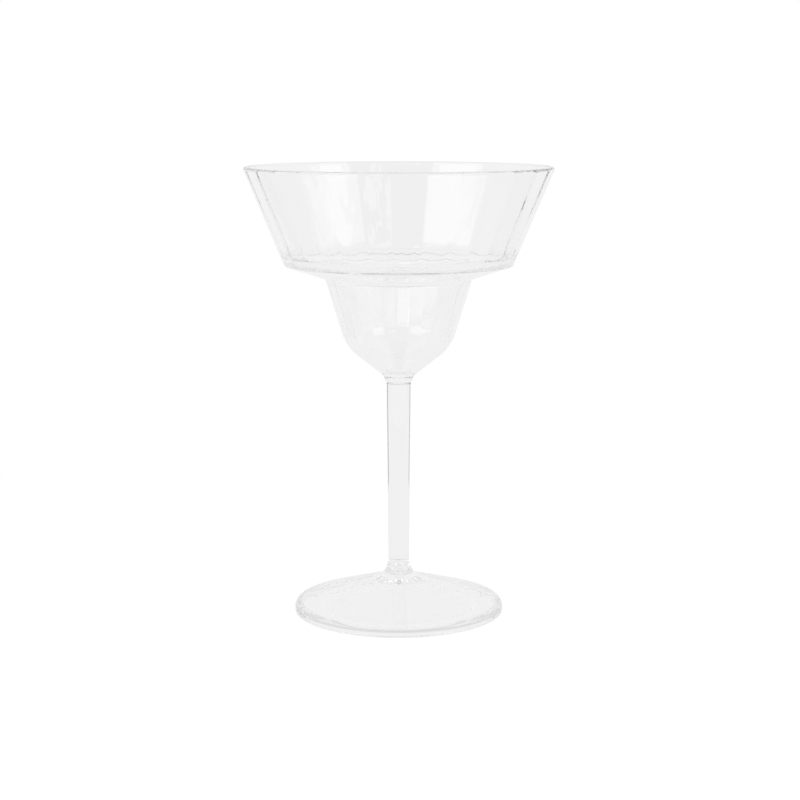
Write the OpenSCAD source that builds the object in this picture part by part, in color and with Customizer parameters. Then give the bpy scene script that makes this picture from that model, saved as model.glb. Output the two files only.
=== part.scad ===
// Stemmed cocktail glass in clear moulded plastic: a stepped bowl, a solid stem and a round foot.
// The stem's two spigots plug into sockets in the bowl's collar and in the foot's boss.
// Millimetres. The origin is the middle of the foot, on the table, and +Z is up.

/* [Bowl] */
// Outer diameter at the rim
rim_d = 118; // [108:1:128]
// Outer diameter at the shoulder's corner, where the flared wall starts
shoulder_d = 87.7; // [80:0.5:94]
// Outer diameter at the throat, where the shoulder meets the cup below it
throat_d = 56.4; // [52:0.5:62]
// Outer diameter where the cup's side turns in to its base
cup_base_d = 40.9; // [37:0.5:45]
// Height of the flared wall, from the shoulder's corner to the rim
flare_h = 37.4; // [30:0.5:46]
// Drop of the shoulder's underside from its corner to the throat
shoulder_drop = 5.2; // [3.5:0.1:8]
// Height of the cup's side, from its base to the throat
cup_side_h = 26; // [20:0.5:34]
// Height of the cup's tapered base above the collar
cup_base_h = 10.8; // [9.5:0.1:14]
// Thickness of the flared wall at the edges between its panels
flare_wall = 2.4; // [1.6:0.1:3.2]
// Thickness of the shoulder's floor
floor_t = 2.8; // [2:0.1:3.6]
// Thickness of the cup's side and base
cup_wall = 2.4; // [1.6:0.1:3]
// Number of flat panels round the inside of the bowl and of the cup
panel_count = 30; // [18:1:36]
// Turn of the panels about the bowl's axis, in degrees
panel_turn = -2; // [-6:0.5:6]

/* [Stem] */
// Length of the stem that shows between the bowl's collar and the foot's boss
stem_l = 70.7; // [50:0.5:90]
// Diameter of the stem just under the bowl's collar
stem_top_d = 9.6; // [8.6:0.1:10]
// Diameter of the stem just above the foot's boss
stem_base_d = 8; // [7.4:0.1:9]
// Diameter of the spigot that plugs into the bowl
top_spigot_d = 5; // [4.4:0.1:6]
// Length of the spigot that plugs into the bowl
top_spigot_l = 3.5; // [2.5:0.1:4]
// Diameter of the spigot that plugs into the foot
foot_spigot_d = 4; // [3.6:0.1:5]
// Length of the spigot that plugs into the foot
foot_spigot_l = 5.9; // [5.4:0.1:6.6]
// Number of retaining rings round the spigot that plugs into the foot
ring_count = 3; // [1:1:3]

/* [Foot] */
// Outer diameter of the foot
foot_d = 81.6; // [74:0.5:92]
// Height of the foot's edge
foot_edge_h = 3.4; // [2.8:0.1:4.2]
// Height at which the foot's slope would meet the side of its boss
foot_slope_h = 14.7; // [13.6:0.1:16]
// Height of the boss that holds the stem
boss_h = 18.7; // [18.6:0.1:21]
// Diameter of the boss
boss_d = 9.2; // [8.8:0.1:10.4]
// Thickness of the foot at the outer end of its slope
foot_wall = 2.6; // [2:0.1:3]
// Thickness of the foot at the inner end of its slope, beside the boss
foot_wall_in = 1.9; // [1.6:0.1:3]
// Width of the flat ring that rests on the table
rest_ring_w = 3.4; // [2:0.1:6]

/* [Hidden] */

// Running gap round each spigot, and the gap left past its end
spigot_gap = 0.06;
spigot_end_gap = 0.25;
// Width of the open groove round each spigot, and the height and depth of the bevels along its edges
face_gap = 0.7;
groove_bevel = 0.15;
groove_in = 0.2;
// How far a cut runs past the face that it opens
overrun = 1;

// Rounded edges and fillets of the bowl
lip_round = 0.9;
lip_inner_round = 0.8;
shoulder_round = 0.9;
throat_fillet = 3;
cup_base_round = 18;
floor_fillet = 11;
throat_round = 8;
cup_inner_round = 15;
cup_dish_round = 0.8;
// How far the round cavity lies outside the panels' edges, so that the panels end in its fillets,
// and how far the lip's inner round starts inside them, so that they end in it too
panel_relief = 0.25;
lip_inset = 0.5;
// The bowl's collar: its height, and its widths at the top and the bottom
collar_h = 3.2;
collar_top_d = 12;
collar_base_d = 10.2;
// Diameter of the cup's base where it meets the collar, and the height of the step between them
cup_foot_d = 13.9;
collar_step = 0.8;
// Plastic left between the socket and the cup
cup_web = 1.9;

// Bevels of the spigots' ends
spigot_bevel = 0.4;
// Retaining rings: how far they stand out, their half height and their spacing
ring_out = 0.2;
ring_half_h = 0.3;
ring_pitch = 1.45;
ring_drop = 1.5;

// Rounded edges and fillets of the foot
foot_round = 2.2;
foot_under_round = 0.5;
boss_fillet = 5.2;
// Least height of the straight side above the boss's fillet
boss_side = 0.05;
hollow_fillet = 0.3;
hollow_round = 3;
// Plastic left between the socket and the hollow under the foot
foot_web = 2.2;
// Gate mark under the foot: a shallow round dimple
gate_d = 2.6;
gate_depth = 0.5;

// Number of steps in each rounded corner, and of sides in a drawn circle
arc_steps = 8;
$fn = 96;

// Heights of the stacked parts above the table
stem_base_z = boss_h + face_gap;
stem_top_z = stem_base_z + stem_l;
collar_z = stem_top_z + face_gap;
cup_foot_z = collar_z + collar_h;
cup_base_z = cup_foot_z + cup_base_h;
throat_z = cup_base_z + cup_side_h;
shoulder_z = throat_z + shoulder_drop;
rim_z = shoulder_z + flare_h;
socket_top_z = stem_top_z + top_spigot_l + spigot_end_gap;
socket_floor_z = stem_base_z - foot_spigot_l - spigot_end_gap;
hollow_z = socket_floor_z - foot_web;

// The rim's sharp corner lies this far out of rim_d, which the rounded lip just reaches
flare_lean = atan2((rim_d - shoulder_d) / 2, flare_h);
lip_spare = lip_round * (1 / tan((90 - flare_lean) / 2) - 1);

// Corners of the bowl's outside, as [radius, height]
cup_foot_at = [cup_foot_d / 2, cup_foot_z];
cup_base_at = [cup_base_d / 2, cup_base_z];
throat_at = [throat_d / 2, throat_z];
shoulder_at = [shoulder_d / 2, shoulder_z];
rim_at = [rim_d / 2 + lip_spare, rim_z];

function unit(v) = v / norm(v);

// Left-hand side of a direction
function left(v) = [-v.y, v.x];

// The straight line from a to b, moved to its left by d, as two points
function moved(a, b, d) = [a + left(unit(b - a)) * d, b + left(unit(b - a)) * d];

function cross2(a, b) = a.x * b.y - a.y * b.x;

// Where the line p crosses the line q
function meet(p, q) =
    let (
        along_p = p[1] - p[0],
        along_q = q[1] - q[0],
        share = cross2(q[0] - p[0], along_q) / cross2(along_p, along_q)
    )
    p[0] + along_p * share;

// The radius of a line at a height
function radius_at(line, z) = meet(line, [[0, z], [overrun, z]]).x;

// A corner with a rounding of its own: [radius, height, rounding]
function rounded(at, rounding) = [at.x, at.y, rounding];

function short_turn(angle) = angle > 180 ? angle - 360 : angle < -180 ? angle + 360 : angle;

// The arc that rounds corner b on the way from a to c
function corner_arc(a, b, c) =
    let (
        here = [b.x, b.y],
        back = unit([a.x, a.y] - here),
        ahead = unit([c.x, c.y] - here),
        half = acos(back * ahead) / 2,
        centre = here + unit(back + ahead) * b.z / sin(half),
        first = here + back * b.z / tan(half) - centre,
        last = here + ahead * b.z / tan(half) - centre,
        start = atan2(first.y, first.x),
        sweep = short_turn(atan2(last.y, last.x) - start)
    )
    [for (k = [0 : arc_steps])
        centre + b.z * [cos(start + sweep * k / arc_steps), sin(start + sweep * k / arc_steps)]];

// The points of a closed outline of corners, each rounded where its rounding isn't zero
function outline(corners) =
    let (n = len(corners))
    [for (i = [0 : n - 1])
        each corners[i].z == 0
            ? [[corners[i].x, corners[i].y]]
            : corner_arc(corners[(i + n - 1) % n], corners[i], corners[(i + 1) % n])];

// A solid turned from an outline of rounded corners
module turned(corners)
    rotate_extrude()
        polygon(outline(corners));

// The corners of a regular ring of panels, at one radius and height
function panel_ring(at) =
    [for (k = [0 : panel_count - 1])
        let (angle = panel_turn - 90 + k * 360 / panel_count)
        [at.x * cos(angle), at.x * sin(angle), at.y]];

// An upright cone of flat panels, from the lower [radius, height] to the upper one
module panelled_cone(low, high) {
    n = panel_count;
    polyhedron(
        points = concat(panel_ring(low), panel_ring(high)),
        faces = concat(
            [[for (k = [0 : n - 1]) k]],
            [[for (k = [0 : n - 1]) 2 * n - 1 - k]],
            [for (k = [0 : n - 1]) [k, n + k, n + (k + 1) % n, (k + 1) % n]]
        )
    );
}

// Lines of the bowl's inside: the panels' edges, and the round cavity just outside them
flare_edge = moved(shoulder_at, rim_at, flare_wall);
flare_line = moved(shoulder_at, rim_at, flare_wall - panel_relief);
lip_line = moved(shoulder_at, rim_at, flare_wall + lip_inset);
floor_line = moved(throat_at, shoulder_at, floor_t);
side_edge = moved(cup_base_at, throat_at, cup_wall);
side_line = moved(cup_base_at, throat_at, cup_wall - panel_relief);
base_line = moved(cup_foot_at, cup_base_at, cup_wall);
dish_z = socket_top_z + cup_web;
dish_line = [[0, dish_z], [cup_foot_d, dish_z]];

floor_outer_at = meet(floor_line, flare_line);
throat_inner_at = meet(floor_line, side_line);
cup_inner_at = meet(base_line, side_line);
dish_at = meet(dish_line, base_line);
over_rim_z = rim_z + overrun;

// The bowl's outside, solid, from its collar to its rim
module bowl_body()
    turned([
        [0, collar_z, 0],
        [collar_base_d / 2 - groove_in, collar_z, 0],
        [collar_base_d / 2, collar_z + groove_bevel, 0],
        [collar_top_d / 2, cup_foot_z - collar_step, 0],
        rounded(cup_foot_at, 0),
        rounded(cup_base_at, cup_base_round),
        rounded(throat_at, throat_fillet),
        rounded(shoulder_at, shoulder_round),
        rounded(rim_at, lip_round),
        [0, rim_z, 0]
    ]);

// The hollow of the flared bowl: flat panels that end in the fillet above the floor
module flare_cavity()
    intersection() {
        turned([
            [0, floor_line[0].y, 0],
            rounded(floor_line[0], 0),
            rounded(floor_outer_at, floor_fillet),
            [radius_at(flare_line, over_rim_z), over_rim_z, 0],
            [0, over_rim_z, 0]
        ]);
        panelled_cone(
            [radius_at(flare_edge, throat_z), throat_z],
            [radius_at(flare_edge, over_rim_z), over_rim_z]
        );
    }

// The hollow of the cup: flat panels that end in the round of its base
module cup_cavity()
    intersection() {
        turned([
            [0, dish_z, 0],
            rounded(dish_at, cup_dish_round),
            rounded(cup_inner_at, cup_inner_round),
            [radius_at(side_line, shoulder_z), shoulder_z, 0],
            [0, shoulder_z, 0]
        ]);
        panelled_cone(
            [radius_at(side_edge, cup_foot_z), cup_foot_z],
            [radius_at(side_edge, shoulder_z), shoulder_z]
        );
    }

// The rounded edge between the cup and the shoulder's floor
module throat_cavity()
    turned([
        [0, throat_z - throat_round, 0],
        [radius_at(side_edge, throat_z) - throat_round, throat_z - throat_round, 0],
        rounded(throat_inner_at, throat_round),
        rounded(floor_line[1], 0),
        [0, floor_line[1].y, 0]
    ]);

// The rounded inner edge of the rim, where the panels end
module lip_cavity() {
    low_z = rim_z - 3 * lip_inner_round;
    corner_z = rim_z - lip_inner_round;
    turned([
        [0, low_z, 0],
        [radius_at(lip_line, low_z), low_z, 0],
        [radius_at(lip_line, corner_z), corner_z, lip_inner_round],
        [rim_d / 2, over_rim_z, 0],
        [0, over_rim_z, 0]
    ]);
}

// Socket for the stem's upper spigot, open at the collar's lower face
module bowl_socket()
    translate([0, 0, collar_z - overrun])
        cylinder(d = top_spigot_d + 2 * spigot_gap, h = socket_top_z - collar_z + overrun);

module bowl()
    color("lightcyan")
        difference() {
            bowl_body();
            flare_cavity();
            cup_cavity();
            throat_cavity();
            lip_cavity();
            bowl_socket();
        }

// One retaining ring, or the groove that it snaps into
module ring_bead(core_d, z, grow = 0)
    translate([0, 0, z])
        rotate_extrude()
            polygon([
                [0, -ring_half_h - ring_out - grow],
                [core_d / 2, -ring_half_h - ring_out - grow],
                [core_d / 2 + ring_out, -ring_half_h - grow],
                [core_d / 2 + ring_out, ring_half_h + grow],
                [core_d / 2, ring_half_h + ring_out + grow],
                [0, ring_half_h + ring_out + grow]
            ]);

// Heights of the retaining rings
ring_heights = [for (k = [0 : ring_count - 1]) stem_base_z - ring_drop - k * ring_pitch];

module stem()
    color("azure")
        union() {
            turned([
                [0, stem_base_z - foot_spigot_l, 0],
                [foot_spigot_d / 2 - spigot_bevel, stem_base_z - foot_spigot_l, 0],
                [foot_spigot_d / 2, stem_base_z - foot_spigot_l + spigot_bevel, 0],
                [foot_spigot_d / 2, stem_base_z, 0],
                [stem_base_d / 2 - groove_in, stem_base_z, 0],
                [stem_base_d / 2, stem_base_z + groove_bevel, 0],
                [stem_top_d / 2, stem_top_z - groove_bevel, 0],
                [stem_top_d / 2 - groove_in, stem_top_z, 0],
                [top_spigot_d / 2, stem_top_z, 0],
                [top_spigot_d / 2, stem_top_z + top_spigot_l - spigot_bevel, 0],
                [top_spigot_d / 2 - spigot_bevel, stem_top_z + top_spigot_l, 0],
                [0, stem_top_z + top_spigot_l, 0]
            ]);
            for (z = ring_heights)
                ring_bead(foot_spigot_d, z);
        }

// Corners of the foot's upper side, and the hollow that follows it underneath
slope_low_at = [foot_d / 2, foot_edge_h];
slope_high_at = [boss_d / 2, foot_slope_h];
slope_lean = atan2(foot_slope_h - foot_edge_h, (foot_d - boss_d) / 2);
hollow_line = [
    moved(slope_high_at, slope_low_at, -foot_wall_in)[0],
    moved(slope_high_at, slope_low_at, -foot_wall)[1]
];
hollow_r = foot_d / 2 - rest_ring_w;
hollow_edge_at = meet(hollow_line, [[hollow_r, 0], [hollow_r, foot_edge_h]]);
hollow_top_at = meet(hollow_line, [[0, hollow_z], [boss_d, hollow_z]]);

// The fillet between the slope and the boss, or the largest one that the boss has room for
boss_room = boss_h - groove_bevel - boss_side - foot_slope_h;
boss_round = min(boss_fillet, boss_room / tan((90 - slope_lean) / 2));

// The foot's outside, solid, from the table to the mouth of its boss
module foot_body()
    turned([
        [0, 0, 0],
        [foot_d / 2, 0, foot_under_round],
        rounded(slope_low_at, foot_round),
        rounded(slope_high_at, boss_round),
        [boss_d / 2, boss_h - groove_bevel, 0],
        [boss_d / 2 - groove_in, boss_h, 0],
        [0, boss_h, 0]
    ]);

// The hollow under the foot
module foot_hollow()
    turned([
        [0, -overrun, 0],
        [hollow_r, -overrun, 0],
        rounded(hollow_edge_at, hollow_fillet),
        rounded(hollow_top_at, hollow_round),
        [0, hollow_z, 0]
    ]);

// Socket for the stem's lower spigot, with a groove for each retaining ring
module foot_socket() {
    translate([0, 0, socket_floor_z])
        cylinder(d = foot_spigot_d + 2 * spigot_gap, h = boss_h - socket_floor_z + overrun);
    for (z = ring_heights)
        ring_bead(foot_spigot_d + 2 * spigot_gap, z, spigot_gap);
}

module gate_mark()
    translate([0, 0, hollow_z - overrun])
        cylinder(d = gate_d, h = gate_depth + overrun);

module foot()
    color("aliceblue")
        difference() {
            foot_body();
            foot_hollow();
            foot_socket();
            gate_mark();
        }

bowl();
stem();
foot();
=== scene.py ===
"""A clear stepped cocktail glass on a white ground: bowl, stem and foot, three polished mouldings."""

import math

import bpy
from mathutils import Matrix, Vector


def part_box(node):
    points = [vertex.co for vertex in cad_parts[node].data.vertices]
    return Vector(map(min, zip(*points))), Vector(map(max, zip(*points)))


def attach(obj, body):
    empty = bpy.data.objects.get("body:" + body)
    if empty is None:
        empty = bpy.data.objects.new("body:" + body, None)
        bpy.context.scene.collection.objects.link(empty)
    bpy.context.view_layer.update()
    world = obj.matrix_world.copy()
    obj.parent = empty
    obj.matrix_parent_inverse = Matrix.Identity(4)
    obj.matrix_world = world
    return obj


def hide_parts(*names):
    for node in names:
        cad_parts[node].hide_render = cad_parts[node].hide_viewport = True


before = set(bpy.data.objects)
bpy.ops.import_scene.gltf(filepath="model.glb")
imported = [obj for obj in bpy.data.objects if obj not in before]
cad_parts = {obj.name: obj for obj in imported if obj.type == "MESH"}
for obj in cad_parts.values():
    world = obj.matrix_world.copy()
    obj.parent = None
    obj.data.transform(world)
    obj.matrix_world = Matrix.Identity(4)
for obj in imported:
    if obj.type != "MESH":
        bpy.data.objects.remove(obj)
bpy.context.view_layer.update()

MM = 0.001

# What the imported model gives: where each piece starts and ends, in millimetres
BOWL_LOW, BOWL_HIGH = ([v / MM for v in corner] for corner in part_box("bowl"))
FOOT_LOW, FOOT_HIGH = ([v / MM for v in corner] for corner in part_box("foot"))

# The bowl
RIM_Z = BOWL_HIGH[2]
RIM_R = BOWL_HIGH[0]
SHOULDER_R = 43.85
THROAT_R = 28.2
CUP_BASE_R = 20.45
FLARE_H = 37.4
SHOULDER_DROP = 5.2
CUP_SIDE_H = 26.0
FLARE_WALL = 2.4
FLOOR_T = 2.8
CUP_WALL = 2.4
CUP_WEB = 1.9
LIP_ROUND = 0.9
LIP_INNER_ROUND = 0.8
SHOULDER_ROUND = 0.9
THROAT_FILLET = 3.0
CUP_BASE_ROUND = 18.0
FLOOR_FILLET = 11.0
THROAT_ROUND = 8.0
CUP_INNER_ROUND = 15.0
CUP_DISH_ROUND = 0.8
COLLAR_Z = BOWL_LOW[2]
COLLAR_H = 3.2
COLLAR_TOP_R = 6.0
COLLAR_BASE_R = 5.1
COLLAR_STEP = 0.8
CUP_FOOT_R = 6.95
TOP_SOCKET_R = 2.56
TOP_SOCKET_DEPTH = 3.05

# The flat panels inside the bowl: how many, their turn, and half the width of their soft edges in degrees
PANELS = 30
PANEL_TURN = -2.0
PANEL_EDGE = 0.9
# Where a panel is cut upright: shares of its edge's half width from either edge, and degrees across its flat
PANEL_EDGE_STEPS = (0.5, 1.0, 1.6)
PANEL_FLAT_STEPS = (3.0, 6.0, 9.0)
# Height over which the panels fade into the fillets at their ends
PANEL_FADE = 3.0

# The open groove at each joint: its width, and the height and depth of the bevels along its edges
FACE_GAP = 0.7
GROOVE_BEVEL = 0.15
GROOVE_IN = 0.2

# The stem
STEM_TOP_R = 4.8
STEM_BASE_R = 4.0
SPIGOT_BEVEL = 0.4
TOP_SPIGOT_R = 2.5
TOP_SPIGOT_L = 3.5
FOOT_SPIGOT_R = 2.0
FOOT_SPIGOT_L = 5.9
RING_COUNT = 3
RING_OUT = 0.2
RING_HALF_H = 0.3
RING_PITCH = 1.45
RING_DROP = 1.5

# The foot
FOOT_R = FOOT_HIGH[0]
FOOT_EDGE_H = 3.4
FOOT_SLOPE_H = 14.7
BOSS_Z = FOOT_HIGH[2]
BOSS_R = 4.6
BOSS_FILLET = 5.17
FOOT_WALL = 2.6
FOOT_WALL_IN = 1.9
FOOT_WEB = 2.2
REST_RING_W = 3.4
FOOT_ROUND = 2.2
FOOT_UNDER_ROUND = 0.5
HOLLOW_FILLET = 0.3
HOLLOW_ROUND = 3.0
SPIGOT_GAP = 0.06
SPIGOT_END_GAP = 0.25
GATE_R = 1.3
GATE_DEPTH = 0.5

# How finely the turned surfaces are drawn: degrees along a rounding, and half the angle of a corner too
# straight to round
ARC_STEP = 3.0
NEARLY_STRAIGHT = 89.5
SMALL_ROUND = 0.12
GUARD = 0.25
ROUND_STEPS = 240
SHARP_ANGLE = 30.0

# The faint upright streaks of the moulding: how many to a metre, how much longer they are, and their depth
STREAK_SCALE = 220.0
STREAK_STRETCH = 0.08
STREAK_DETAIL = 1.0
STREAK_STRENGTH = 0.06
STREAK_DEPTH = 1.0

# Wear: the faint patchy haze of handling, and the scuffs where the foot's rim rubs on tables
CLOUD_SCALE = 60.0
CLOUD_DETAIL = 3.0
CLOUD_EDGES = (0.45, 0.7)
HAND_HAZE = 0.012
SCUFF_H = 0.3
SCUFF = 0.5

# How the plastic bends light, what it swallows per metre of its path, and what share reaches the floor
IOR = 1.5
ABSORPTION = 1.2
SHADOW_SHARE = 0.9

# The room round the glass, where 1 is white, and how it darkens upwards on the camera's side and overhead:
# its level there, and the elevations in degrees at which that starts and is complete
ROOM_LEVEL = 0.9
CEILING = (0.55, 15.0, 35.0)
OVERHEAD = (0.5, 72.0, 80.0)
# The forward part of a direction, from -1 at the camera to 1 at the back, where the ceiling starts to fade
# and is gone
CEILING_FADE = (-0.4, 0.1)
# What is brighter or darker in the room: azimuth and elevation of its middle (azimuth 0 is towards the
# camera), half its width and height, the widths of its soft edges, all in degrees, and its own level
SOFTBOXES = (
    ("left", -55, 35, 20, 12, 8, 13, 1.9),
    ("right", 66, 35, 17, 12, 5, 13, 1.9),
    ("strip", 20, 35, 2, 12, 2, 13, 1.9),
    ("low_strip", -16, 24, 3, 6, 2, 5, 2.4),
)
DARK_PATCHES = (
    ("right", 122, -10, 5, 3, 3, 3, 0.2),
    ("left", -122, -10, 4.5, 3, 3, 3, 0.4),
    ("far_right", 142, -2, 7, 5, 8, 6, 0.72),
    ("far_left", -142, -2, 7, 5, 8, 6, 0.78),
    # The band low in the room, seen through the floor's open ring under the foot: painted shadow under the
    # foot's rim
    ("low", 0, -27, 200, 7, 1, 5, 0.74),
)
# The part of the light that the floor spreads, which the glass's shadow takes away, and the camera's white
FLOOR_ALBEDO = 0.1
FLOOR_LIT = 0.08
FLOOR_WHITE = 1.01
FLOOR_Z = -0.05
# How much darker than the room the glass sees the floor
FLOOR_DIP = 0.025
# The floor's width and length in metres: behind the glass it reaches as far as the shoulder sees, and at the
# sides the stem sees past it
FLOOR_SIZE = (0.42, 0.86)
# The ring of floor under the foot's rim that is open to the glass, so that the foot's front shows the band
# low
# in the room: a painted shadow under the rim, seen through the glass. Its middle radius, half width and soft
# width, in millimetres
PAINTED_SHADOW_RING = (37.0, 7.0, 3.0)

# The camera fitted to the photograph: its place and lens in millimetres, and its pitch down in degrees
CAMERA_PLACE = (0.5, -691.6, 198.9)
CAMERA_DOWN = 9.48
LENS = 81.3
SENSOR = 36.0

# Light that the stem guides between its ends meets its sides some hundred times
BOUNCES = 256
TRANSPARENT_BOUNCES = 16


def unit(v):
    length = math.hypot(*v)
    return (v[0] / length, v[1] / length)


def moved(a, b, d):
    """The line from a to b, moved to its left by d, as two points."""
    x, y = unit((b[0] - a[0], b[1] - a[1]))
    return ((a[0] - y * d, a[1] + x * d), (b[0] - y * d, b[1] + x * d))


def meet(p, q):
    """Where the line p crosses the line q."""
    px, py = p[1][0] - p[0][0], p[1][1] - p[0][1]
    qx, qy = q[1][0] - q[0][0], q[1][1] - q[0][1]
    share = ((q[0][0] - p[0][0]) * qy - (q[0][1] - p[0][1]) * qx) / (px * qy - py * qx)
    return (p[0][0] + px * share, p[0][1] + py * share)


def corner_arc(a, b, c, rounding):
    """The arc that rounds corner b on the way from a to c."""
    back = unit((a[0] - b[0], a[1] - b[1]))
    ahead = unit((c[0] - b[0], c[1] - b[1]))
    cosine = back[0] * ahead[0] + back[1] * ahead[1]
    half = math.acos(max(-1.0, min(1.0, cosine))) / 2
    if half > math.radians(NEARLY_STRAIGHT):
        return [b]
    middle = unit((back[0] + ahead[0], back[1] + ahead[1]))
    reach = rounding / math.sin(half)
    centre = (b[0] + middle[0] * reach, b[1] + middle[1] * reach)
    along = rounding / math.tan(half)
    first = math.atan2(b[1] + back[1] * along - centre[1], b[0] + back[0] * along - centre[0])
    last = math.atan2(b[1] + ahead[1] * along - centre[1], b[0] + ahead[0] * along - centre[0])
    sweep = (last - first + math.pi) % (2 * math.pi) - math.pi
    steps = max(3, round(math.degrees(abs(sweep)) / ARC_STEP))
    angles = [first + sweep * k / steps for k in range(steps + 1)]
    return [(centre[0] + rounding * math.cos(t), centre[1] + rounding * math.sin(t)) for t in angles]


def outline(corners):
    """Points from (radius, height, rounding) corners, with guard points at the ends of straight stretches."""
    points = [corners[0][:2]]
    for before, here, after in zip(corners, corners[1:], corners[2:]):
        arc = corner_arc(before[:2], here[:2], after[:2], here[2]) if here[2] else [here[:2]]
        points += guarded(points[-1], arc[0]) + arc
    points += guarded(points[-1], corners[-1][:2]) + [corners[-1][:2]]
    return points


def guarded(a, b):
    """Two points on the way from a to b, close to its ends, which keep the shading of its middle straight."""
    length = math.dist(a, b)
    if length < 4 * GUARD:
        return []
    share = GUARD / length
    return [(a[0] + (b[0] - a[0]) * s, a[1] + (b[1] - a[1]) * s) for s in (share, 1 - share)]


def round_angles():
    return [2 * math.pi * k / ROUND_STEPS for k in range(ROUND_STEPS)]


def panel_angles():
    """Directions round the bowl: close together at each panel's edges, and a few across its flat."""
    width = 360 / PANELS
    close = [share * PANEL_EDGE for share in PANEL_EDGE_STEPS]
    across = [0.0, *close, *PANEL_FLAT_STEPS, *(width - step for step in reversed(close))]
    start = PANEL_TURN - 90
    return [math.radians(start + width * k + a) for k in range(PANELS) for a in across]


def panel_share(angle):
    """A panel's distance from the axis in one direction, as a share of the distance of its edges."""
    half = math.pi / PANELS
    soft = math.radians(PANEL_EDGE)
    off = abs((angle - math.radians(PANEL_TURN - 90)) % (2 * half) - half)
    flat = math.cos(half) / math.cos(min(off, half - soft))
    if off <= half - soft:
        return flat
    steep = flat * math.tan(half - soft)
    to_corner = half - off
    return flat + steep * (soft * soft - to_corner * to_corner) / (2 * soft)


def turned(name, points, angles, drawn_in=None):
    """A closed surface in metres, turned from an outline that starts and ends on the axis.

    drawn_in gives a share by which each point of the outline lies nearer to the axis in a direction.
    """
    n = len(angles)
    rings = len(points) - 2
    verts = [(0.0, 0.0, points[0][1])]
    for index, (r, z) in enumerate(points[1:-1], 1):
        for angle in angles:
            radius = r * (1 - drawn_in(index, angle)) if drawn_in else r
            verts.append((radius * math.cos(angle), radius * math.sin(angle), z))
    verts.append((0.0, 0.0, points[-1][1]))
    faces = [(0, 1 + (k + 1) % n, 1 + k) for k in range(n)]
    for ring in range(rings - 1):
        low = 1 + ring * n
        high = low + n
        faces += [(low + k, low + (k + 1) % n, high + (k + 1) % n, high + k) for k in range(n)]
    top = 1 + (rings - 1) * n
    faces += [(top + k, top + (k + 1) % n, len(verts) - 1) for k in range(n)]
    mesh = bpy.data.meshes.new(name)
    mesh.from_pydata([(x * MM, y * MM, z * MM) for x, y, z in verts], [], faces)
    mesh.validate()
    mesh.shade_smooth()
    mesh.set_sharp_from_angle(angle=math.radians(SHARP_ANGLE))
    piece = bpy.data.objects.new(name, mesh)
    bpy.context.scene.collection.objects.link(piece)
    return piece


def bowl_corners():
    """The corners of the bowl's outline, outside first, with the inside's by name."""
    cup_foot = (CUP_FOOT_R, COLLAR_Z + COLLAR_H)
    shoulder_z = RIM_Z - FLARE_H
    throat = (THROAT_R, shoulder_z - SHOULDER_DROP)
    cup_base = (CUP_BASE_R, throat[1] - CUP_SIDE_H)
    shoulder = (SHOULDER_R, shoulder_z)
    lean = math.atan2(RIM_R - SHOULDER_R, FLARE_H)
    spare = LIP_ROUND * (1 / math.tan((math.pi / 2 - lean) / 2) - 1)
    rim = (RIM_R + spare, RIM_Z)
    socket_top = COLLAR_Z + TOP_SOCKET_DEPTH
    dish_z = socket_top + CUP_WEB
    flare_line = moved(shoulder, rim, FLARE_WALL)
    floor_line = moved(throat, shoulder, FLOOR_T)
    side_line = moved(cup_base, throat, CUP_WALL)
    base_line = moved(cup_foot, cup_base, CUP_WALL)
    outside = [
        (0.0, socket_top, 0),
        (TOP_SOCKET_R, socket_top, SMALL_ROUND),
        (TOP_SOCKET_R, COLLAR_Z, SMALL_ROUND),
        (COLLAR_BASE_R - GROOVE_IN, COLLAR_Z, SMALL_ROUND),
        (COLLAR_BASE_R, COLLAR_Z + GROOVE_BEVEL, SMALL_ROUND),
        (COLLAR_TOP_R, COLLAR_Z + COLLAR_H - COLLAR_STEP, SMALL_ROUND),
        (*cup_foot, SMALL_ROUND),
        (*cup_base, CUP_BASE_ROUND),
        (*throat, THROAT_FILLET),
        (*shoulder, SHOULDER_ROUND),
        (*rim, LIP_ROUND),
    ]
    inside = {
        "lip": (*meet(flare_line, ((0.0, RIM_Z), (1.0, RIM_Z))), LIP_INNER_ROUND),
        "floor": (*meet(floor_line, flare_line), FLOOR_FILLET),
        "throat": (*meet(floor_line, side_line), THROAT_ROUND),
        "cup": (*meet(base_line, side_line), CUP_INNER_ROUND),
        "dish": (*meet(base_line, ((0.0, dish_z), (1.0, dish_z))), CUP_DISH_ROUND),
    }
    return outside, inside, (0.0, dish_z, 0)


def smooth(share):
    """0 to 1, with a soft start and end."""
    share = max(0.0, min(1.0, share))
    return share * share * (3 - 2 * share)


def bowl_piece():
    """The bowl. Its panels run from the lip to the floor's fillet, and from mid-floor to the cup's base."""
    outside, inside, bottom = bowl_corners()
    points = outline(outside + list(inside.values()) + [bottom])
    lip = max(range(len(points)), key=lambda k: points[k][1])
    floor_z, throat_z, cup_z = (inside[name][1] for name in ("floor", "throat", "cup"))
    floor_middle = (inside["floor"][0] + inside["throat"][0]) / 2
    strengths = []
    for index, (r, z) in enumerate(points):
        if index <= lip:
            strength = 0.0
        elif z > throat_z:
            on_flare = smooth((z - floor_z - PANEL_FADE / 2) / PANEL_FADE)
            strength = max(on_flare, smooth((floor_middle - r) / PANEL_FADE))
        else:
            strength = smooth((z - cup_z) / PANEL_FADE)
        strengths.append(strength)
    lip_start = next(k for k in range(lip, len(points)) if points[k][1] < RIM_Z)
    for index in range(lip + 1, lip_start):
        strengths[index] = (index - lip) / (lip_start - lip)
    angles = panel_angles()
    depths = {angle: 1 - panel_share(angle) for angle in angles}
    return turned("bowl_moulding", points, angles, lambda index, angle: strengths[index] * depths[angle])


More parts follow.
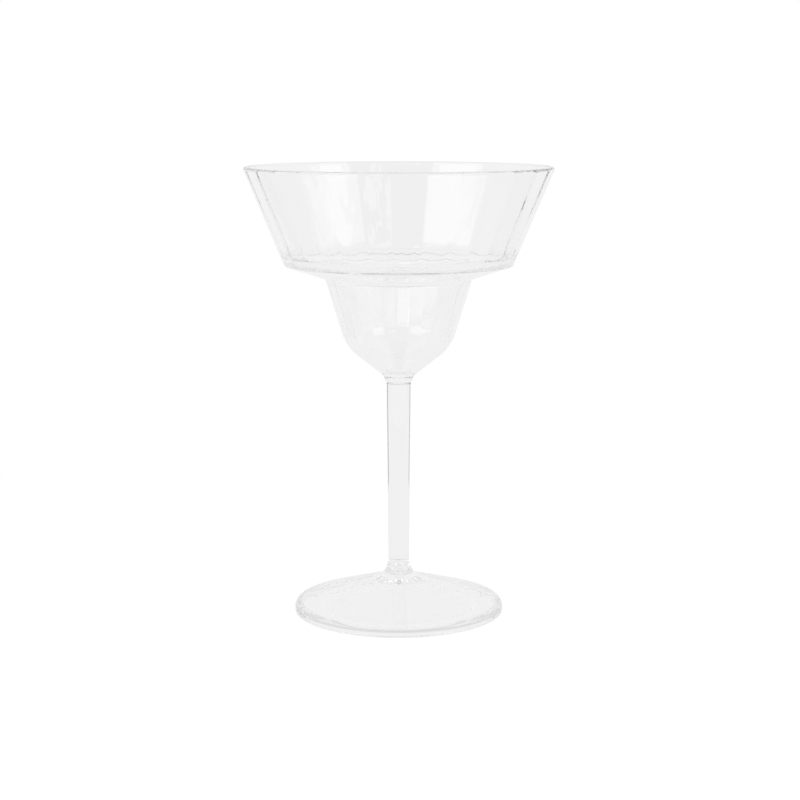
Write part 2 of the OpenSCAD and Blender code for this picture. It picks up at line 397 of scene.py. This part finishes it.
def bead(core, z, grow=0.0):
    """Corners of one retaining ring or of its groove, from the bottom up."""
    return [
        (core, z - RING_HALF_H - RING_OUT - grow, 0),
        (core + RING_OUT, z - RING_HALF_H - grow, 0),
        (core + RING_OUT, z + RING_HALF_H + grow, 0),
        (core, z + RING_HALF_H + RING_OUT + grow, 0),
    ]


def stem_shoulders():
    return BOSS_Z + FACE_GAP, COLLAR_Z - FACE_GAP


def ring_heights():
    low, _ = stem_shoulders()
    return [low - RING_DROP - k * RING_PITCH for k in range(RING_COUNT)]


def stem_piece():
    low, high = stem_shoulders()
    bottom, top = low - FOOT_SPIGOT_L, high + TOP_SPIGOT_L
    beads = [corner for z in reversed(ring_heights()) for corner in bead(FOOT_SPIGOT_R, z)]
    points = outline([
        (0.0, bottom, 0),
        (FOOT_SPIGOT_R - SPIGOT_BEVEL, bottom, SMALL_ROUND),
        (FOOT_SPIGOT_R, bottom + SPIGOT_BEVEL, SMALL_ROUND),
        *beads,
        (FOOT_SPIGOT_R, low, SMALL_ROUND),
        (STEM_BASE_R - GROOVE_IN, low, SMALL_ROUND),
        (STEM_BASE_R, low + GROOVE_BEVEL, SMALL_ROUND),
        (STEM_TOP_R, high - GROOVE_BEVEL, SMALL_ROUND),
        (STEM_TOP_R - GROOVE_IN, high, SMALL_ROUND),
        (TOP_SPIGOT_R, high, SMALL_ROUND),
        (TOP_SPIGOT_R, top - SPIGOT_BEVEL, SMALL_ROUND),
        (TOP_SPIGOT_R - SPIGOT_BEVEL, top, SMALL_ROUND),
        (0.0, top, 0),
    ])
    return turned("stem_moulding", points, round_angles())


def foot_piece():
    slope_low = (FOOT_R, FOOT_EDGE_H)
    slope_high = (BOSS_R, FOOT_SLOPE_H)
    socket_floor = BOSS_Z + FACE_GAP - FOOT_SPIGOT_L - SPIGOT_END_GAP
    hollow_z = socket_floor - FOOT_WEB
    inner = moved(slope_high, slope_low, -FOOT_WALL_IN)
    outer = moved(slope_high, slope_low, -FOOT_WALL)
    hollow_line = (inner[0], outer[1])
    hollow_r = FOOT_R - REST_RING_W
    socket_r = FOOT_SPIGOT_R + SPIGOT_GAP
    grooves = [corner for z in ring_heights() for corner in reversed(bead(socket_r, z, SPIGOT_GAP))]
    points = outline([
        (0.0, hollow_z + GATE_DEPTH, 0),
        (GATE_R, hollow_z + GATE_DEPTH, SMALL_ROUND),
        (GATE_R, hollow_z, SMALL_ROUND),
        (*meet(hollow_line, ((0.0, hollow_z), (1.0, hollow_z))), HOLLOW_ROUND),
        (*meet(hollow_line, ((hollow_r, 0.0), (hollow_r, 1.0))), HOLLOW_FILLET),
        (hollow_r, 0.0, SMALL_ROUND),
        (FOOT_R, 0.0, FOOT_UNDER_ROUND),
        (*slope_low, FOOT_ROUND),
        (*slope_high, BOSS_FILLET),
        (BOSS_R, BOSS_Z - GROOVE_BEVEL, SMALL_ROUND),
        (BOSS_R - GROOVE_IN, BOSS_Z, SMALL_ROUND),
        (socket_r, BOSS_Z, SMALL_ROUND),
        *grooves,
        (socket_r, socket_floor, SMALL_ROUND),
        (0.0, socket_floor, 0),
    ])
    return turned("foot_moulding", points, round_angles())


def grey(level):
    return (level, level, level, 1.0)


def clear_plastic():
    """Polished clear plastic with faint streaks, haze and scuffs. It lets light through to the floor."""
    material = bpy.data.materials.new("clear_plastic")
    material.use_nodes = True
    nodes = material.node_tree.nodes
    links = material.node_tree.links
    shader = nodes["Principled BSDF"]
    shader.inputs["Transmission Weight"].default_value = 1.0
    shader.inputs["IOR"].default_value = IOR
    shader.inputs["Base Color"].default_value = grey(1.0)
    place = nodes.new("ShaderNodeTexCoord")
    cloud = nodes.new("ShaderNodeTexNoise")
    cloud.inputs["Scale"].default_value = CLOUD_SCALE
    cloud.inputs["Detail"].default_value = CLOUD_DETAIL
    links.new(place.outputs["Object"], cloud.inputs["Vector"])
    handled = eased(nodes, links, cloud.outputs["Fac"], *CLOUD_EDGES, 0.0, HAND_HAZE)
    split = nodes.new("ShaderNodeSeparateXYZ")
    links.new(place.outputs["Object"], split.inputs["Vector"])
    scuffed = eased(nodes, links, split.outputs["Z"], 0.0, SCUFF_H * MM, SCUFF, 0.0)
    scuffed = math_node(nodes, links, "MULTIPLY", scuffed, cloud.outputs["Fac"])
    links.new(math_node(nodes, links, "ADD", handled, scuffed), shader.inputs["Roughness"])
    drawn = nodes.new("ShaderNodeMapping")
    drawn.inputs["Scale"].default_value = (1.0, 1.0, STREAK_STRETCH)
    links.new(place.outputs["Object"], drawn.inputs["Vector"])
    waves = nodes.new("ShaderNodeTexNoise")
    waves.inputs["Scale"].default_value = STREAK_SCALE
    waves.inputs["Detail"].default_value = STREAK_DETAIL
    links.new(drawn.outputs["Vector"], waves.inputs["Vector"])
    bump = nodes.new("ShaderNodeBump")
    bump.inputs["Strength"].default_value = STREAK_STRENGTH
    bump.inputs["Distance"].default_value = STREAK_DEPTH * MM
    links.new(waves.outputs["Fac"], bump.inputs["Height"])
    links.new(bump.outputs["Normal"], shader.inputs["Normal"])
    rays = nodes.new("ShaderNodeLightPath")
    through = nodes.new("ShaderNodeBsdfTransparent")
    through.inputs["Color"].default_value = grey(SHADOW_SHARE)
    mix = nodes.new("ShaderNodeMixShader")
    links.new(rays.outputs["Is Shadow Ray"], mix.inputs["Fac"])
    links.new(shader.outputs["BSDF"], mix.inputs[1])
    links.new(through.outputs["BSDF"], mix.inputs[2])
    links.new(mix.outputs["Shader"], nodes["Material Output"].inputs["Surface"])
    inside = nodes.new("ShaderNodeVolumeAbsorption")
    inside.inputs["Color"].default_value = grey(0.0)
    inside.inputs["Density"].default_value = ABSORPTION
    links.new(inside.outputs["Volume"], nodes["Material Output"].inputs["Volume"])
    return material


def eased(nodes, links, value, start, end, low, high):
    """A value that goes softly from low to high while another goes from start to end."""
    ramp = nodes.new("ShaderNodeMapRange")
    ramp.interpolation_type = "SMOOTHSTEP"
    for socket, number in (("From Min", start), ("From Max", end), ("To Min", low), ("To Max", high)):
        ramp.inputs[socket].default_value = number
    links.new(value, ramp.inputs["Value"])
    return ramp.outputs["Result"]


def math_node(nodes, links, operation, first, second):
    """The result of one sum on two values, each a number or another node's output."""
    node = nodes.new("ShaderNodeMath")
    node.operation = operation
    for socket, value in zip(node.inputs, (first, second)):
        if isinstance(value, (int, float)):
            socket.default_value = value
        else:
            links.new(value, socket)
    return node.outputs["Value"]


def near(nodes, links, value, middle, half, soft, close=1.0, far=0.0):
    """Close where a value lies within half of the middle, far outside that, with a soft edge between them."""
    away = math_node(nodes, links, "SUBTRACT", value, middle)
    away = math_node(nodes, links, "ABSOLUTE", away, 0.0)
    return eased(nodes, links, away, half - soft / 2, half + soft / 2, close, far)


def camera_alone(nodes, links, glass_sees, camera_sees):
    """A level: one number for the camera itself, and another, or a node's output, for all other rays."""
    rays = nodes.new("ShaderNodeLightPath")
    seen = nodes.new("ShaderNodeMix")
    seen.data_type = "FLOAT"
    links.new(rays.outputs["Is Camera Ray"], seen.inputs["Factor"])
    if isinstance(glass_sees, float):
        seen.inputs["A"].default_value = glass_sees
    else:
        links.new(glass_sees, seen.inputs["A"])
    seen.inputs["B"].default_value = camera_sees
    return seen.outputs["Result"]


def studio_world():
    """Plain white for the camera. Glass shows a pale room with softboxes, dark patches and a dark ceiling."""
    world = bpy.data.worlds.new("studio")
    bpy.context.scene.world = world
    world.use_nodes = True
    nodes = world.node_tree.nodes
    links = world.node_tree.links
    background = nodes["Background"]
    place = nodes.new("ShaderNodeTexCoord")
    split = nodes.new("ShaderNodeSeparateXYZ")
    links.new(place.outputs["Generated"], split.inputs["Vector"])
    x, y, z = (split.outputs[axis] for axis in "XYZ")
    azimuth = math_node(nodes, links, "ARCTAN2", x, math_node(nodes, links, "MULTIPLY", y, -1.0))
    elevation = math_node(nodes, links, "ARCSINE", z, 0.0)
    ahead = eased(nodes, links, y, *CEILING_FADE, 1.0, 0.0)
    ceiling, overhead = (
        eased(nodes, links, z, *(math.sin(math.radians(e)) for e in elevations), 0.0, ROOM_LEVEL - level)
        for level, *elevations in (CEILING, OVERHEAD)
    )
    ceiling = math_node(nodes, links, "MULTIPLY", ceiling, ahead)
    darker = math_node(nodes, links, "MAXIMUM", ceiling, overhead)
    room = math_node(nodes, links, "SUBTRACT", ROOM_LEVEL, darker)
    for _, *angles, level in SOFTBOXES + DARK_PATCHES:
        around, up, half_width, half_height, soft_width, soft_height = map(math.radians, angles)
        inside = math_node(
            nodes, links, "MULTIPLY",
            near(nodes, links, azimuth, around, half_width, soft_width),
            near(nodes, links, elevation, up, half_height, soft_height),
        )
        change = math_node(nodes, links, "SUBTRACT", level, room)
        room = math_node(nodes, links, "ADD", room, math_node(nodes, links, "MULTIPLY", inside, change))
    links.new(camera_alone(nodes, links, room, 1.0), background.inputs["Strength"])
    background.inputs["Color"].default_value = grey(1.0)


def floor():
    """A white table that glows like the room and takes the glass's faint shadow."""
    bpy.ops.mesh.primitive_plane_add(size=1.0, location=(0.0, 0.0, FLOOR_Z * MM))
    plane = bpy.context.object
    plane.scale = (*FLOOR_SIZE, 1.0)
    plane.name = "floor"
    material = bpy.data.materials.new("white_floor")
    material.use_nodes = True
    nodes = material.node_tree.nodes
    links = material.node_tree.links
    nodes.remove(nodes["Principled BSDF"])
    diffuse = nodes.new("ShaderNodeBsdfDiffuse")
    diffuse.inputs["Color"].default_value = grey(FLOOR_ALBEDO)
    glow = nodes.new("ShaderNodeEmission")
    level = camera_alone(nodes, links, ROOM_LEVEL - FLOOR_LIT - FLOOR_DIP, FLOOR_WHITE - FLOOR_LIT)
    links.new(level, glow.inputs["Strength"])
    both = nodes.new("ShaderNodeAddShader")
    links.new(diffuse.outputs["BSDF"], both.inputs[0])
    links.new(glow.outputs["Emission"], both.inputs[1])
    place = nodes.new("ShaderNodeNewGeometry")
    reach = nodes.new("ShaderNodeVectorMath")
    reach.operation = "LENGTH"
    links.new(place.outputs["Position"], reach.inputs[0])
    # The ring under the foot's rim is open to all rays but the camera's, so the glass sees the darker band
    # low in the room there: a painted shadow under the foot's rim, over the floor's own faint shadow
    middle, half, soft = (length * MM for length in PAINTED_SHADOW_RING)
    solid = near(nodes, links, reach.outputs["Value"], middle, half, soft, 0.0, 1.0)
    opened = nodes.new("ShaderNodeBsdfTransparent")
    opened.inputs["Color"].default_value = grey(1 - FLOOR_DIP)
    mix = nodes.new("ShaderNodeMixShader")
    links.new(camera_alone(nodes, links, solid, 1.0), mix.inputs["Fac"])
    links.new(opened.outputs["BSDF"], mix.inputs[1])
    links.new(both.outputs["Shader"], mix.inputs[2])
    links.new(mix.outputs["Shader"], nodes["Material Output"].inputs["Surface"])
    plane.data.materials.append(material)


def camera():
    """The photograph's camera: a long lens, a little above the rim, looking slightly down."""
    data = bpy.data.cameras.new("camera")
    data.sensor_width = SENSOR
    data.lens = LENS
    data.clip_start = 10 * MM
    view = bpy.data.objects.new("camera", data)
    view.location = [length * MM for length in CAMERA_PLACE]
    view.rotation_euler = (math.radians(90 - CAMERA_DOWN), 0.0, 0.0)
    bpy.context.scene.collection.objects.link(view)
    bpy.context.scene.camera = view


camera()
studio_world()
floor()

plastic = clear_plastic()
for piece, node in ((bowl_piece(), "bowl"), (stem_piece(), "stem"), (foot_piece(), "foot")):
    piece.data.materials.append(plastic)
    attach(piece, "root")
    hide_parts(node)

scene = bpy.context.scene
scene.view_settings.view_transform = "Standard"
scene.cycles.max_bounces = BOUNCES
scene.cycles.transmission_bounces = BOUNCES
scene.cycles.glossy_bounces = BOUNCES
scene.cycles.transparent_max_bounces = TRANSPARENT_BOUNCES
